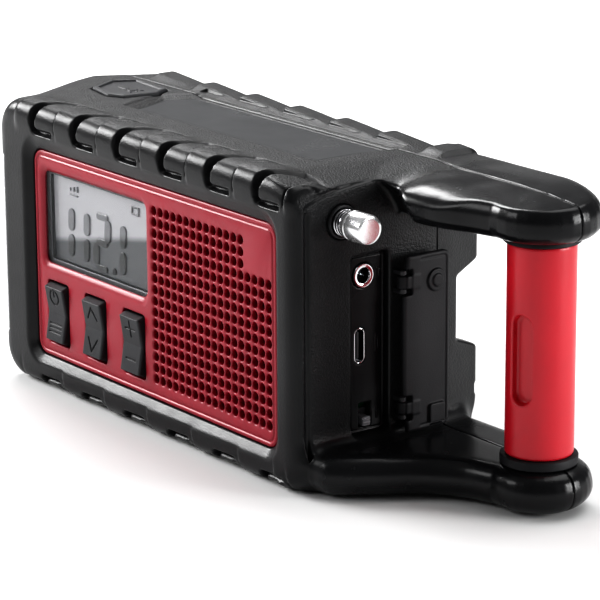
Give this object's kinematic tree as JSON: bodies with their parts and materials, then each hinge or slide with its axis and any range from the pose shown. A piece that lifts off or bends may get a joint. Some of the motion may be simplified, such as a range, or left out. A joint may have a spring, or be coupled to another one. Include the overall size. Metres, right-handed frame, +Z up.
{
  "type": "emergency radio",
  "caption": "Hand-held emergency radio with display, rocker keys, speaker grille, torch, solar deck, telescopic antenna, wind-up crank and a side carrying grip",
  "frame": {"origin": "under the middle of the radio, on the plane it stands on", "axes": "+X along the length towards the grip, -Y out of the front face, +Z up"},
  "size_m": [0.1929, 0.0604, 0.0776],
  "materials": {
    "case_black": "fine textured black moulding",
    "panel_red": "satin red moulding",
    "grip_red": "semi-gloss red moulding",
    "window_clear": "clear display window",
    "lcd_grey": "grey segment display glass",
    "part_white": "white light guide and reflector",
    "key_dark": "dark grey keys",
    "rubber_black": "soft black rubber",
    "cloth_black": "black dust cloth",
    "paper_cone": "speaker cone",
    "steel": "plated steel",
    "magnet": "speaker magnet in its cover",
    "board_green": "circuit board",
    "chip_black": "moulded parts on the board",
    "hinge_black": "plain black plastic",
    "chrome": "polished chrome",
    "solar_glass": "smoked window over the solar cell",
    "solar_dark": "solar cell",
    "lens_clear": "clear ribbed torch lens",
    "lamp_white": "white lamp",
    "gear_nylon": "nylon gear",
    "battery_grey": "wrapped battery pack"
  },
  "bodies": {
    "housing": {"antenna_bush": "hinge_black", "antenna_sleeve": "chrome", "battery_door_pin": "steel", "battery_pack": "battery_grey", "case_screws": "steel", "cover_hinge_lugs": "hinge_black", "cover_hinge_pins": "steel", "display_window": "window_clear", "dynamo_case": "steel", "face_panel": "panel_red", "ferrite_rod": "chip_black", "front_frame": "case_black", "gearbox_plate": "hinge_black", "grip_collar_lower": "rubber_black", "grip_collar_upper": "rubber_black", "grip_core": "hinge_black", "grip_sleeve": "grip_red", "handle_arm_lower": "case_black", "handle_arm_upper": "case_black", "headphone_jack": "chrome", "key_mat": "rubber_black", "lcd_backlight": "part_white", "lcd_glass": "lcd_grey", "main_board": "board_green", "main_case": "case_black", "port_board": "board_green", "port_plate": "key_dark", "radio_chips": "chip_black", "rear_case": "case_black", "solar_cell": "solar_dark", "solar_window": "solar_glass", "speaker_cloth": "cloth_black", "speaker_cone": "paper_cone", "speaker_frame": "steel", "speaker_magnet": "magnet", "torch_board": "board_green", "torch_lamps": "lamp_white", "torch_lens": "lens_clear", "torch_reflector": "part_white", "torch_switch_board": "board_green", "usb_c_socket": "steel"},
    "power_rocker": {"rocker_power_menu": "key_dark"},
    "volume_rocker": {"rocker_up_down": "key_dark"},
    "tuning_rocker": {"rocker_plus_minus": "key_dark"},
    "torch_button": {"torch_key": "key_dark"},
    "charge_lever": {"charge_switch_lever": "key_dark"},
    "socket_cover": {"port_cover": "rubber_black"},
    "antenna_a": {"antenna_tube_1": "chrome"},
    "antenna_b": {"antenna_tube_2": "chrome"},
    "antenna_c": {"antenna_tube_3": "chrome"},
    "antenna_d": {"antenna_tip": "chrome"},
    "crank": {"crank_hub": "hinge_black", "crank_arm": "hinge_black", "crank_knob_pin": "steel", "drive_gear": "gear_nylon"},
    "knob": {"crank_knob": "key_dark"},
    "step_wheel": {"step_gear": "gear_nylon"},
    "dynamo_rotor": {"dynamo_pinion": "gear_nylon"},
    "door": {"battery_door": "case_black", "battery_door_screw": "steel"}
  },
  "joints": [
    {"name": "power_rocker_tilt", "type": "hinge", "parent": "housing", "child": "power_rocker", "pos_m": [-0.0635, -0.02575, 0.02165], "axis": [1, 0, 0], "range_deg": [-3, 3], "stiffness_Nm_per_rad": 0.2},
    {"name": "volume_rocker_tilt", "type": "hinge", "parent": "housing", "child": "volume_rocker", "pos_m": [-0.04545, -0.02575, 0.02165], "axis": [1, 0, 0], "range_deg": [-3, 3], "stiffness_Nm_per_rad": 0.2},
    {"name": "tuning_rocker_tilt", "type": "hinge", "parent": "housing", "child": "tuning_rocker", "pos_m": [-0.0274, -0.02575, 0.02165], "axis": [1, 0, 0], "range_deg": [-3, 3], "stiffness_Nm_per_rad": 0.2},
    {"name": "torch_button_press", "type": "slide", "parent": "housing", "child": "torch_button", "axis": [0, 0, -1], "range_m": [0, 0.0012], "stiffness_N_per_m": 1500},
    {"name": "charge_lever_slide", "type": "slide", "parent": "housing", "child": "charge_lever", "axis": [0, 0, 1], "range_m": [0, 0.003]},
    {"name": "socket_cover_swing", "type": "hinge", "parent": "housing", "child": "socket_cover", "pos_m": [0.04675, 0.00025, 0.0333], "axis": [0, 0, 1], "range_deg": [-178, 0]},
    {"name": "antenna_slide_a", "type": "slide", "parent": "housing", "child": "antenna_a", "axis": [1, 0, 0], "range_m": [0, 0.08]},
    {"name": "antenna_slide_b", "type": "slide", "parent": "antenna_a", "child": "antenna_b", "axis": [1, 0, 0], "range_m": [0, 0.08]},
    {"name": "antenna_slide_c", "type": "slide", "parent": "antenna_b", "child": "antenna_c", "axis": [1, 0, 0], "range_m": [0, 0.08]},
    {"name": "antenna_slide_d", "type": "slide", "parent": "antenna_c", "child": "antenna_d", "axis": [1, 0, 0], "range_m": [0, 0.08]},
    {"name": "crank_spin", "type": "hinge", "parent": "housing", "child": "crank", "pos_m": [0.00785, 0.02515, 0.0385], "axis": [0, 1, 0], "continuous": true},
    {"name": "knob_fold", "type": "hinge", "parent": "crank", "child": "knob", "pos_m": [-0.01415, 0.02565, 0.0385], "axis": [0, 0, 1], "range_deg": [0, 90]},
    {"name": "step_wheel_spin", "type": "hinge", "parent": "housing", "child": "step_wheel", "pos_m": [-0.0148, 0.01465, 0.05157], "axis": [0, 1, 0], "continuous": true},
    {"name": "dynamo_spin", "type": "hinge", "parent": "housing", "child": "dynamo_rotor", "pos_m": [-0.03655, 0.01165, 0.04366], "axis": [0, 1, 0], "continuous": true},
    {"name": "battery_door_swing", "type": "hinge", "parent": "housing", "child": "door", "pos_m": [-0.05315, 0.02915, 0.0125], "axis": [1, 0, 0], "range_deg": [-100, 0]}
  ],
  "couplings": [
    {"joint": "step_wheel_spin", "follows": "crank_spin", "ratio": -3.3333},
    {"joint": "dynamo_spin", "follows": "crank_spin", "ratio": 12}
  ]
}
